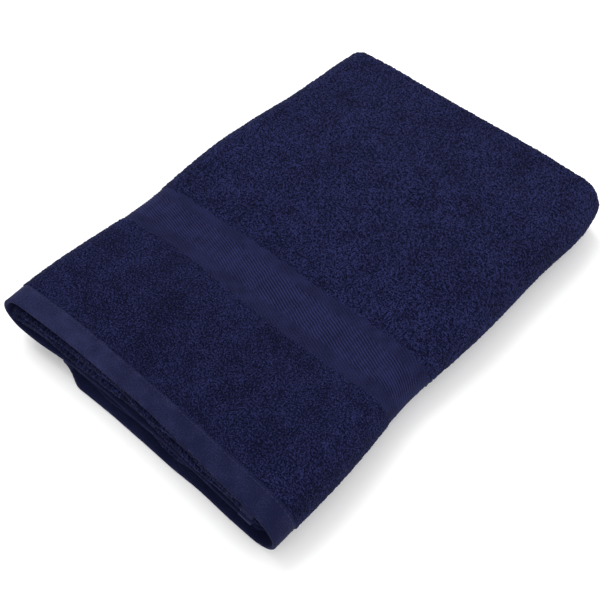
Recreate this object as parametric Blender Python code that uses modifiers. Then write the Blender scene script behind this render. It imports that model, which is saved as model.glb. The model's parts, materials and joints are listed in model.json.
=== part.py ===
"""A bath towel folded for the shelf: quartered along its length, then folded in thirds across its width.

The towel is one cloth with a terry field, a dobby border near each end, a turned and sewn hem at each end
and a turned and sewn hem along each side. Quartering lays it in four leaves, counted along the cloth as it
folds: leaf 1 ends in the first hem, leaf 2 in the second, and leaves 4 and 3 lie between the folds. The
third folded in first is tucked between the other two. The cover, which is the top third with the tucked
third inside it, turns back like the cover of a book about the fold on the right.

X runs across the folded towel, Y from the near end with the hems to the far fold, and Z up from the table.
"""

import math
from dataclasses import dataclass

import bmesh
import bpy
from mathutils import Matrix, Vector

# The folded towel, in metres.
FOLDED_LENGTH = 0.343
FOLDED_WIDTH = 0.223
LEAF_THICKNESS = 0.0030
CLEARANCE = 0.0003

# Zones along the cloth, from each of its ends.
END_HEM_WIDTH = 0.0175
SEAM_WIDTH = 0.0010
END_TERRY_LENGTH = 0.075
DOBBY_WIDTH = 0.048
END_HEM_THICKNESS = 0.0024
DOBBY_THICKNESS = 0.0022

# The hems along the sides of the cloth.
SIDE_HEM_WIDTH = 0.010
SIDE_HEM_THICKNESS = 0.0026

# How unevenly the layers lie.
SECOND_END_RECESS = 0.006
NEAR_FOLD_RECESS = 0.004
BOTTOM_THIRD_SETBACK = 0.035
TUCKED_THIRD_SETBACK = 0.020

# Shape detail.
EDGE_ROUNDING = 0.0007
ROUNDING_STEPS = 2
HALF_TURN_STEPS = 12

# Colours of the yarns, as linear red, green and blue, and how matt they are.
TERRY_COLOUR = (0.011, 0.014, 0.043, 1.0)
FLAT_WEAVE_COLOUR = (0.018, 0.022, 0.075, 1.0)
THREAD_COLOUR = (0.014, 0.017, 0.058, 1.0)
TERRY_ROUGHNESS = 0.95
FLAT_WEAVE_ROUGHNESS = 0.75

PITCH = LEAF_THICKNESS + CLEARANCE
STACK_HEIGHT = 4 * LEAF_THICKNESS + 3 * CLEARANCE
TOTAL_HEIGHT = 3 * STACK_HEIGHT + 2 * CLEARANCE
NEAR_Y = -FOLDED_LENGTH / 2
OUTER_FOLD_RADIUS = STACK_HEIGHT / 2
INNER_FOLD_RADIUS = LEAF_THICKNESS + CLEARANCE / 2
FAR_FOLD_Y = FOLDED_LENGTH / 2 - OUTER_FOLD_RADIUS
NEAR_FOLD_Y = NEAR_Y + NEAR_FOLD_RECESS + INNER_FOLD_RADIUS
LEFT_WRAP_RADIUS = STACK_HEIGHT + CLEARANCE / 2
RIGHT_WRAP_RADIUS = TOTAL_HEIGHT / 2
LEFT_WRAP_X = -FOLDED_WIDTH / 2 + LEFT_WRAP_RADIUS
RIGHT_WRAP_X = FOLDED_WIDTH / 2 - RIGHT_WRAP_RADIUS
HINGE = Vector((FOLDED_WIDTH / 2 + CLEARANCE / 2, 0, TOTAL_HEIGHT / 2))

QUARTER_TURN = math.pi / 2
HALF_TURN = math.pi
LEAVES = (1, 2, 3, 4)
END_LEAVES = (1, 2)


@dataclass(frozen=True)
class Third:
    """One third of the folded width, a flat stack of four leaves."""

    name: str
    level: int
    leaves_upwards: tuple
    left: float
    right: float

    def middle(self, leaf):
        """Height of one leaf's mid-surface."""
        base = self.level * (STACK_HEIGHT + CLEARANCE)
        return base + self.leaves_upwards.index(leaf) * PITCH + LEAF_THICKNESS / 2


SIDE_STRIP = SIDE_HEM_WIDTH + SEAM_WIDTH + 2 * CLEARANCE
BOTTOM_EDGE = -FOLDED_WIDTH / 2 + BOTTOM_THIRD_SETBACK
TUCKED_EDGE = FOLDED_WIDTH / 2 - TUCKED_THIRD_SETBACK
LEFT_FLAT = LEFT_WRAP_X + CLEARANCE / 2
RIGHT_FLAT = RIGHT_WRAP_X - CLEARANCE / 2
BOTTOM = Third("bottom", 0, (1, 2, 3, 4), BOTTOM_EDGE + SIDE_STRIP, RIGHT_FLAT)
TUCKED = Third("tucked", 1, (1, 2, 3, 4), LEFT_FLAT, TUCKED_EDGE - SIDE_STRIP)
TOP = Third("top", 2, (4, 3, 2, 1), LEFT_FLAT, RIGHT_FLAT)


def clear_scene():
    """Removes the objects of the scene that is open."""
    for found in list(bpy.data.objects):
        bpy.data.objects.remove(found, do_unlink=True)


def make_collection(name):
    """A new collection in the scene."""
    collection = bpy.data.collections.new(name)
    bpy.context.scene.collection.children.link(collection)
    return collection


def make_material(name, colour, roughness):
    """A plain cloth or thread finish."""
    material = bpy.data.materials.new(name)
    material.use_nodes = True
    shader = material.node_tree.nodes["Principled BSDF"]
    shader.inputs["Base Color"].default_value = colour
    shader.inputs["Roughness"].default_value = roughness
    shader.inputs["Metallic"].default_value = 0.0
    return material


def looks(zone):
    """Colour and roughness of a zone of the cloth."""
    if "seam" in zone:
        return THREAD_COLOUR, FLAT_WEAVE_ROUGHNESS
    if "hem" in zone or "dobby" in zone:
        return FLAT_WEAVE_COLOUR, FLAT_WEAVE_ROUGHNESS
    return TERRY_COLOUR, TERRY_ROUGHNESS


def leaf_start(leaf):
    """Y where a leaf starts at the near end, at its hem or at the outside of the near fold."""
    starts = {1: NEAR_Y, 2: NEAR_Y + SECOND_END_RECESS}
    return starts.get(leaf, NEAR_FOLD_Y - INNER_FOLD_RADIUS)


def leaf_end(leaf):
    """Y of the outside of a leaf's far fold."""
    return FAR_FOLD_Y + (OUTER_FOLD_RADIUS if leaf in (1, 4) else INNER_FOLD_RADIUS)


def end_zones(leaf):
    """The zones before the main terry, from a leaf's hem, as name, near Y, far Y and thickness."""
    zones = []
    near = leaf_start(leaf)
    for name, width, thickness in (
        ("end_hem", END_HEM_WIDTH, END_HEM_THICKNESS),
        ("end_hem_seam", SEAM_WIDTH, END_HEM_THICKNESS),
        ("end_terry", END_TERRY_LENGTH, LEAF_THICKNESS),
        ("dobby_border", DOBBY_WIDTH, DOBBY_THICKNESS),
    ):
        zones.append((name, near, near + width, thickness))
        near += width + CLEARANCE
    return zones


def main_terry_start(leaf):
    """Y where the main terry starts, past the dobby border of a leaf that has one."""
    return end_zones(leaf)[-1][2] + CLEARANCE


def bend(fold_y, height_from, height_to, bulge):
    """Points round a half turn in the YZ plane that bulges towards +Y or -Y."""
    middle = (height_from + height_to) / 2
    radius = abs(height_from - height_to) / 2
    points = []
    for step in range(HALF_TURN_STEPS + 1):
        angle = HALF_TURN * step / HALF_TURN_STEPS
        y = fold_y + bulge * radius * math.sin(angle)
        points.append((y, middle + (height_from - middle) * math.cos(angle)))
    return points


def quartered_path(third, first_start, second_start):
    """The cloth's mid-line in the YZ plane, from a place on leaf 1 round the folds to one on leaf 2."""
    one, two, three, four = (third.middle(leaf) for leaf in LEAVES)
    return [
        (first_start, one),
        *bend(FAR_FOLD_Y, one, four, 1),
        *bend(NEAR_FOLD_Y, four, three, -1),
        *bend(FAR_FOLD_Y, three, two, 1),
        (second_start, two),
    ]


class Towel:
    """Builds the towel's pieces into one collection."""

    def __init__(self):
        self.collection = make_collection("bath_towel")
        self.hinge = bpy.data.objects.new("cover_hinge", None)
        self.hinge.location = HINGE
        self.collection.objects.link(self.hinge)

    def place(self, name, shape, centre, on_cover):
        """Adds a piece from its shape, on the cover's hinge or standing free."""
        mesh = bpy.data.meshes.new(name)
        shape.to_mesh(mesh)
        shape.free()
        mesh.materials.append(make_material(name + "_finish", *looks(name)))
        piece = bpy.data.objects.new(name, mesh)
        self.collection.objects.link(piece)
        piece.location = centre
        if on_cover:
            piece.parent = self.hinge
            piece.location = centre - HINGE
        return piece

    def block(self, name, low, high, on_cover, rounding=EDGE_ROUNDING):
        """A flat piece of cloth with rounded edges, given by its low and high corners."""
        size = Vector(high) - Vector(low)
        shape = bmesh.new()
        bmesh.ops.create_cube(shape, size=1, matrix=Matrix.Diagonal((*size, 1)))
        piece = self.place(name, shape, (Vector(high) + Vector(low)) / 2, on_cover)
        if rounding:
            bevel = piece.modifiers.new("rounded_edges", "BEVEL")
            bevel.width = rounding
            bevel.segments = ROUNDING_STEPS

    def strip(self, name, path, left, right, thickness, on_cover):
        """Cloth that follows a path in the YZ plane, from one X to another."""
        shape = bmesh.new()
        points = [shape.verts.new((left, y, z)) for y, z in path]
        edges = [shape.edges.new(pair) for pair in zip(points, points[1:])]
        swept = bmesh.ops.extrude_edge_only(shape, edges=edges)
        moved = [part for part in swept["geom"] if isinstance(part, bmesh.types.BMVert)]
        bmesh.ops.translate(shape, verts=moved, vec=(right - left, 0, 0))
        bmesh.ops.recalc_face_normals(shape, faces=shape.faces)
        piece = self.place(name, shape, Vector((0, 0, 0)), on_cover)
        shell = piece.modifiers.new("cloth_thickness", "SOLIDIFY")
        shell.thickness = thickness
        shell.offset = 0
        shell.use_even_offset = True

    def wrap(self, name, centre, radius, near, far, start, turn, thickness, on_cover):
        """Cloth turned round an axis along Y, from an angle that is measured from +X towards +Z."""
        outward = Vector((math.cos(start), 0, math.sin(start)))
        shape = bmesh.new()
        corners = [
            shape.verts.new(outward * reach + Vector((0, y, 0)))
            for reach, y in (
                (radius, near),
                (radius, far),
                (radius - thickness, far),
                (radius - thickness, near),
            )
        ]
        section = shape.faces.new(corners)
        bmesh.ops.spin(
            shape,
            geom=[*corners, *section.edges, section],
            cent=(0, 0, 0),
            axis=(0, -1, 0),
            angle=turn,
            steps=round(HALF_TURN_STEPS * turn / HALF_TURN),
        )
        bmesh.ops.recalc_face_normals(shape, faces=shape.faces)
        self.place(name, shape, Vector(centre), on_cover)

    def zoned_wrap(self, name, centre, outer_radius, leaf, start, turn, on_cover):
        """One leaf turned round a fold, divided into its zones on leaf 1, whose outside shows."""
        zones = [("", leaf_start(leaf), leaf_end(leaf), LEAF_THICKNESS)]
        if leaf == 1:
            hem, seam, terry, dobby = end_zones(leaf)
            hem = (hem[0], hem[1], seam[2], hem[3])
            main = ("main_terry", main_terry_start(leaf), leaf_end(leaf), LEAF_THICKNESS)
            zones = [hem, terry, dobby, main]
        for zone, near, far, thickness in zones:
            radius = outer_radius - (LEAF_THICKNESS - thickness) / 2
            piece = f"{name}_leaf{leaf}" + (f"_{zone}" if zone else "")
            self.wrap(piece, centre, radius, near, far, start, turn, thickness, on_cover)

    def flat_third(self, third, on_cover):
        """One third with the cloth that lies flat in it."""
        for leaf in END_LEAVES:
            middle = third.middle(leaf)
            for zone, near, far, thickness in end_zones(leaf):
                low = (third.left, near, middle - thickness / 2)
                high = (third.right, far, middle + thickness / 2)
                rounding = 0 if "seam" in zone else EDGE_ROUNDING
                self.block(f"{third.name}_leaf{leaf}_{zone}", low, high, on_cover, rounding)
        path = quartered_path(third, main_terry_start(1), main_terry_start(2))
        name = f"{third.name}_main_terry"
        self.strip(name, path, third.left, third.right, LEAF_THICKNESS, on_cover)

    def side_hem(self, third, terry_edge, outward, on_cover):
        """The turned side of the cloth and its stitching, folded with the leaves they edge."""
        path = quartered_path(third, leaf_start(1), leaf_start(2))
        seam = sorted(terry_edge + outward * x for x in (CLEARANCE, CLEARANCE + SEAM_WIDTH))
        inner = 2 * CLEARANCE + SEAM_WIDTH
        hem = sorted(terry_edge + outward * x for x in (inner, inner + SIDE_HEM_WIDTH))
        for name, (left, right) in (("side_seam", seam), ("side_hem", hem)):
            self.strip(f"{third.name}_{name}", path, left, right, SIDE_HEM_THICKNESS, on_cover)

    def left_wrap(self):
        """The four leaves where they turn down from the top third to the tucked third."""
        centre = (LEFT_WRAP_X, 0, 2 * STACK_HEIGHT + 1.5 * CLEARANCE)
        for leaf in LEAVES:
            radius = LEFT_WRAP_RADIUS - (leaf - 1) * PITCH
            self.zoned_wrap("left_wrap", centre, radius, leaf, QUARTER_TURN, HALF_TURN, True)

    def right_wrap(self):
        """The four leaves where they turn from the top third to the bottom third, split at the hinge."""
        centre = (RIGHT_WRAP_X, 0, TOTAL_HEIGHT / 2)
        for leaf in LEAVES:
            radius = RIGHT_WRAP_RADIUS - (leaf - 1) * PITCH
            split = math.asin(CLEARANCE / 2 / (radius - LEAF_THICKNESS))
            turn = QUARTER_TURN - split
            self.zoned_wrap("right_wrap_upper", centre, radius, leaf, split, turn, True)
            self.zoned_wrap("right_wrap_lower", centre, radius, leaf, -QUARTER_TURN, turn, False)


def main():
    clear_scene()
    towel = Towel()
    towel.flat_third(BOTTOM, on_cover=False)
    towel.side_hem(BOTTOM, BOTTOM.left, -1, on_cover=False)
    towel.flat_third(TUCKED, on_cover=True)
    towel.side_hem(TUCKED, TUCKED.right, 1, on_cover=True)
    towel.flat_third(TOP, on_cover=True)
    towel.left_wrap()
    towel.right_wrap()


main()
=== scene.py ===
"""A folded bath towel: terry with a woven border band and turned end hems, folded to twelve leaves."""

import json
import logging
import math
from dataclasses import dataclass, field
from enum import Enum
from typing import Any, Callable, Dict, List, Optional, Sequence, Tuple, Union

import bpy
import numpy as np
from mathutils import Matrix, Vector

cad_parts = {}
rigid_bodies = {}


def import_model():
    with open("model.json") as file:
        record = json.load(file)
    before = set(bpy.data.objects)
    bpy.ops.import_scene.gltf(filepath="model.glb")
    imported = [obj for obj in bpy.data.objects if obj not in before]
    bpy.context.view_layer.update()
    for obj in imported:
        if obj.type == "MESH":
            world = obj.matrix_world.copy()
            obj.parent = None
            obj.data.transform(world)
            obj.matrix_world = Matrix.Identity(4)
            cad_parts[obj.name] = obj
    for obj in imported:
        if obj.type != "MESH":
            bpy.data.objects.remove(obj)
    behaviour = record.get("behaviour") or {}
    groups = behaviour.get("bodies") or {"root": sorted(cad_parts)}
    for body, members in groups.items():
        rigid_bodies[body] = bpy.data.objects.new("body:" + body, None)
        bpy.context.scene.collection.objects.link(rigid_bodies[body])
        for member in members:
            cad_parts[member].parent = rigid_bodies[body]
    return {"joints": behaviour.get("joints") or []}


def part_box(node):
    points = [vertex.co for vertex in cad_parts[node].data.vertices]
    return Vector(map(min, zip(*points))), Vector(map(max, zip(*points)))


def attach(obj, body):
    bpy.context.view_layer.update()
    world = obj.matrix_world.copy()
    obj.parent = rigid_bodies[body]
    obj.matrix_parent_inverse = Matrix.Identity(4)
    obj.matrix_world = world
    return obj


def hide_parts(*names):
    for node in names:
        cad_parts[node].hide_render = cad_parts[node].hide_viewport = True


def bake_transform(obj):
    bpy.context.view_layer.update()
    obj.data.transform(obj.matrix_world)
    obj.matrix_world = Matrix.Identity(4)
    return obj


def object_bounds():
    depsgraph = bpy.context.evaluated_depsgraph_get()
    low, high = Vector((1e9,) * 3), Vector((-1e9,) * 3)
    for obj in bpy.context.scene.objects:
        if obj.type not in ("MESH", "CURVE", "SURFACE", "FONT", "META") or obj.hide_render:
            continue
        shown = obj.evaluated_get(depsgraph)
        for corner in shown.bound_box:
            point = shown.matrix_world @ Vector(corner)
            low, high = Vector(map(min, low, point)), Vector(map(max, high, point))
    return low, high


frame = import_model()
CAD_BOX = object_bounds()

LOG = logging.getLogger("bath_towel")
MM = 0.001
Array = np.ndarray
Colour = Tuple[float, float, float, float]
Place = Tuple[float, float, float]
Table = Tuple[Tuple[float, ...], ...]
Follow = Callable[[bpy.types.Object], None]

# The cotton's fuzz, which all of its weaves share.
FUZZ = 0.05
FUZZ_TINT = (0.35, 0.38, 0.75, 1.0)

# The shares of the bake map: across it, then up it for the cloth's outer and inner faces and its rim.
BAKE_ACROSS = (0.01, 0.99)
BAKE_OUTER = (0.36, 0.99)
BAKE_INNER = (0.12, 0.34)
RIM_START = 0.02
RIM_SPAN = 0.96
RIM_OUTER = 0.030
RIM_INNER = 0.015
RIM_STEP = 0.02


class Slot(Enum):
    """The record's material slots."""

    TERRY = "terry"
    DOBBY = "dobby_weave"
    HEM = "hem_weave"
    THREAD = "sewing_thread"


class Run(Enum):
    """The two runs of cloth across the towel, which meet on the top at the left fold."""

    WRAPPED = "wrapped"
    TUCKED = "tucked"


def smooth(value: Array, low: float, high: float) -> Array:
    """Returns 0 below low and 1 above high, with a soft step between."""
    part = np.clip((value - low) / (high - low), 0.0, 1.0)
    return part * part * (3.0 - 2.0 * part)


def lines(start: float, stop: float, step: float) -> Array:
    """Returns evenly spaced places from start to stop, no further apart than step."""
    return np.linspace(start, stop, max(2, math.ceil(abs(stop - start) / step) + 1))


def joined(*runs: Array) -> Array:
    """Returns several runs of places as one, with the shared ends kept once."""
    return np.unique(np.concatenate(runs).round(7))


def spread(places: Array, share: Tuple[float, float]) -> Array:
    """Returns places stretched to fill a share of a map."""
    low, high = share
    return low + (high - low) * (places - places.min()) / (places.max() - places.min())


def linked(name: str, data: bpy.types.ID) -> bpy.types.Object:
    """Returns a new object that is in the scene."""
    item = bpy.data.objects.new(name, data)
    bpy.context.scene.collection.objects.link(item)
    return item


def corners(mesh: bpy.types.Mesh) -> Array:
    """Returns the number of the point at each corner of a mesh's faces."""
    numbers = np.zeros(len(mesh.loops), np.int32)
    mesh.loops.foreach_get("vertex_index", numbers)
    return numbers


def add_map(mesh: bpy.types.Mesh, name: str, places: Array) -> None:
    """Adds a map to a mesh, with a place for each corner of its faces."""
    mesh.uv_layers.new(name=name).data.foreach_set("uv", places.astype(np.float32).ravel())


@dataclass(frozen=True)
class Grain:
    """Smooth random values over the cloth, the same ones each time."""

    seed: int
    count: int = 128

    def at(self, across: Array, along: Array, size: float) -> Array:
        """Reads the grain.

        Args:
            across: places across the cloth, in metres.
            along: places along the cloth, in metres.
            size: how far apart the random values are, in metres.

        Returns:
            Values from 0 to 1, one for each place.
        """
        table = np.random.default_rng(self.seed).random((self.count, self.count))
        column, row = across / size, along / size
        i, j = np.floor(column).astype(int), np.floor(row).astype(int)
        u, v = smooth(column - i, 0.0, 1.0), smooth(row - j, 0.0, 1.0)
        n = self.count
        near = table[j % n, i % n] * (1 - u) + table[j % n, (i + 1) % n] * u
        far = table[(j + 1) % n, i % n] * (1 - u) + table[(j + 1) % n, (i + 1) % n] * u
        return near * (1 - v) + far * v


@dataclass(frozen=True)
class Net:
    """A net of offsets over the towel's plan, read with smooth curves between its knots."""

    columns: Tuple[float, ...]
    rows: Tuple[float, ...]
    values: Table

    @staticmethod
    def shares(knots: Sequence[float], place: Array) -> Array:
        """Works out how much each knot counts at each place.

        Args:
            knots: the knots' places, rising.
            place: the places to read, as a flat array.

        Returns:
            An array with a row for each place and a column for each knot.
        """
        k = np.asarray(knots, float)
        gaps = np.diff(k)
        count = len(k)
        left, right = np.eye(count), np.zeros((count, count))
        for i in range(1, count - 1):
            a, b = gaps[i - 1], gaps[i]
            left[i, i - 1 : i + 2] = (a, 2 * (a + b), b)
            right[i, i - 1 : i + 2] = (6 / a, -6 / a - 6 / b, 6 / b)
        bend = np.linalg.solve(left, right)
        x = np.clip(place, k[0], k[-1])
        i = np.clip(np.searchsorted(k, x) - 1, 0, count - 2)
        gap = gaps[i][:, None]
        a = ((k[i + 1] - x) / gaps[i])[:, None]
        b = 1.0 - a
        unit = np.eye(count)
        curve = (a**3 - a) * gap**2 / 6 * bend[i] + (b**3 - b) * gap**2 / 6 * bend[i + 1]
        return a * unit[i] + b * unit[i + 1] + curve

    def at(self, x: Array, y: Array) -> Array:
        """Returns the net's value at each place of the plan, in metres.

        Args:
            x: places across the towel.
            y: places along the towel.

        Returns:
            The offsets, in metres.
        """
        across = self.shares([c * MM for c in self.columns], x.ravel())
        along = self.shares([r * MM for r in self.rows], y.ravel())
        table = np.asarray(self.values, float)
        return np.einsum("ni,ij,nj->n", along, table, across).reshape(x.shape) * MM


@dataclass(frozen=True)
class FoldPlan:
    """Where the folded cloth lies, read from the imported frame."""

    leaf: float
    pitch: float
    near: float
    second_near: float
    hem_end: float
    seam_end: float
    dobby_start: float
    dobby_end: float
    near_turn: float
    far_turn: float
    bottom_edge: float
    right_fold: float
    left_fold: float
    tucked_edge: float
    side_hem: float
    stack: float
    gap: float

    @classmethod
    def from_frame(cls) -> "FoldPlan":
        """Reads the plan from the frame's nodes.

        Returns:
            The plan, in metres in the row frame.
        """
        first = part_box("top_leaf1_end_terry")
        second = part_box("top_leaf2_end_terry")
        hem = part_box("top_leaf1_end_hem")
        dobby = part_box("top_leaf1_dobby_border")
        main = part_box("top_main_terry")
        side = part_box("bottom_side_hem")
        leaf = first[1].z - first[0].z
        pitch = first[1].z - second[1].z
        stack = 3 * pitch + leaf
        return cls(
            leaf=leaf,
            pitch=pitch,
            near=hem[0].y,
            second_near=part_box("top_leaf2_end_hem")[0].y,
            hem_end=hem[1].y,
            seam_end=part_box("top_leaf1_end_hem_seam")[1].y,
            dobby_start=dobby[0].y,
            dobby_end=dobby[1].y,
            near_turn=main[0].y + pitch / 2 + leaf / 2,
            far_turn=main[1].y - 1.5 * pitch - leaf / 2,
            bottom_edge=side[0].x,
            right_fold=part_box("right_wrap_upper_leaf1_end_terry")[0].x,
            left_fold=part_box("left_wrap_leaf1_end_terry")[1].x,
            tucked_edge=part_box("tucked_side_hem")[1].x,
            side_hem=side[1].x - side[0].x,
            stack=stack,
            gap=pitch - leaf,
        )

    @property
    def levels(self) -> Tuple[float, float, float]:
        """The middle heights of the bottom, tucked and top thirds."""
        step = self.stack + self.gap
        return self.stack / 2, self.stack / 2 + step, self.stack / 2 + 2 * step

    @property
    def right_radius(self) -> float:
        """The right fold's radius at the middle of the leaves."""
        return (self.levels[2] - self.levels[0]) / 2

    @property
    def left_radius(self) -> float:
        """The left fold's radius at the middle of the leaves."""
        return (self.levels[2] - self.levels[1]) / 2

    @property
    def outer(self) -> float:
        """How far the outermost leaf lies from the middle of the four."""
        return 1.5 * self.pitch

    @property
    def stops(self) -> Tuple[float, float, float, float, float]:
        """Where the flats and folds end across the cloth, from the bottom's free edge."""
        one = self.right_fold - self.bottom_edge
        two = one + math.pi * (self.right_radius + self.outer)
        three = two + self.right_fold - self.left_fold
        four = three + math.pi * (self.left_radius + self.outer)
        return one, two, three, four, four + self.tucked_edge - self.left_fold

    @property
    def marks(self) -> Tuple[float, ...]:
        """Where the leaves and cross folds end along the cloth, from the first hem's edge."""
        run = self.far_turn - self.near_turn
        first = self.far_turn - self.near
        wide, tight = math.pi * self.outer, math.pi * self.pitch / 2
        steps = (first, wide, run, tight, run, tight, self.far_turn - self.second_near)
        return tuple(float(v) for v in np.cumsum(steps))

    def across(self, s: Array) -> Tuple[Array, Array, Array, Array]:
        """Follows the middle of the four leaves across the towel.

        Args:
            s: places across the cloth, from the bottom's free edge, in metres.

        Returns:
            x, z and the outward direction's x and z at each place.
        """
        one, two, three, four, _ = self.stops
        low, mid, high = self.levels
        right = -math.pi / 2 + (s - one) / (self.right_radius + self.outer)
        left = math.pi / 2 + (s - three) / (self.left_radius + self.outer)
        rules = [s < one, s < two, s < three, s < four]
        zero = np.zeros_like(s)
        x = np.select(
            rules,
            [
                self.bottom_edge + s,
                self.right_fold + self.right_radius * np.cos(right),
                self.right_fold - (s - two),
                self.left_fold + self.left_radius * np.cos(left),
            ],
            self.left_fold + (s - four),
        )
        z = np.select(
            rules,
            [
                zero + low,
                (low + high) / 2 + self.right_radius * np.sin(right),
                zero + high,
                (mid + high) / 2 + self.left_radius * np.sin(left),
            ],
            mid,
        )
        out_x = np.select(rules, [zero, np.cos(right), zero, np.cos(left)], 0.0)
        out_z = np.select(rules, [zero - 1, np.sin(right), zero + 1, np.sin(left)], -1.0)
        return x, z, out_x, out_z

    def along(self, t: Array) -> Tuple[Array, Array, Array, Array]:
        """Follows the cloth along the towel, through its cross folds.

        Args:
            t: places along the cloth, from the first hem's edge, in metres.

        Returns:
            y, the distance from the middle of the leaves, and the cloth's face direction in both.
        """
        m = self.marks
        wide, tight = self.outer, self.pitch / 2
        rules = [t < m[0], t < m[1], t < m[2], t < m[3], t < m[4], t < m[5]]
        a = math.pi / 2 - (t - m[0]) / wide
        b = -math.pi / 2 - (t - m[2]) / tight
        c = -math.pi / 2 + (t - m[4]) / tight
        zero = np.zeros_like(t)
        y = np.select(
            rules,
            [
                self.near + t,
                self.far_turn + wide * np.cos(a),
                self.far_turn - (t - m[1]),
                self.near_turn + tight * np.cos(b),
                self.near_turn + (t - m[3]),
                self.far_turn + tight * np.cos(c),
            ],
            self.far_turn - (t - m[5]),
        )
        n = np.select(
            rules,
            [
                zero + wide,
                wide * np.sin(a),
                zero - wide,
                -self.pitch + tight * np.sin(b),
                zero - tight,
                tight * np.sin(c),
            ],
            tight,
        )
        face_y = np.select(rules, [zero, np.cos(a), zero, np.cos(b), zero, -np.cos(c)], 0.0)
        face_n = np.select(rules, [zero + 1, np.sin(a), zero - 1, np.sin(b), zero + 1, -np.sin(c)], -1.0)
        return y, n, face_y, face_n


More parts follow.
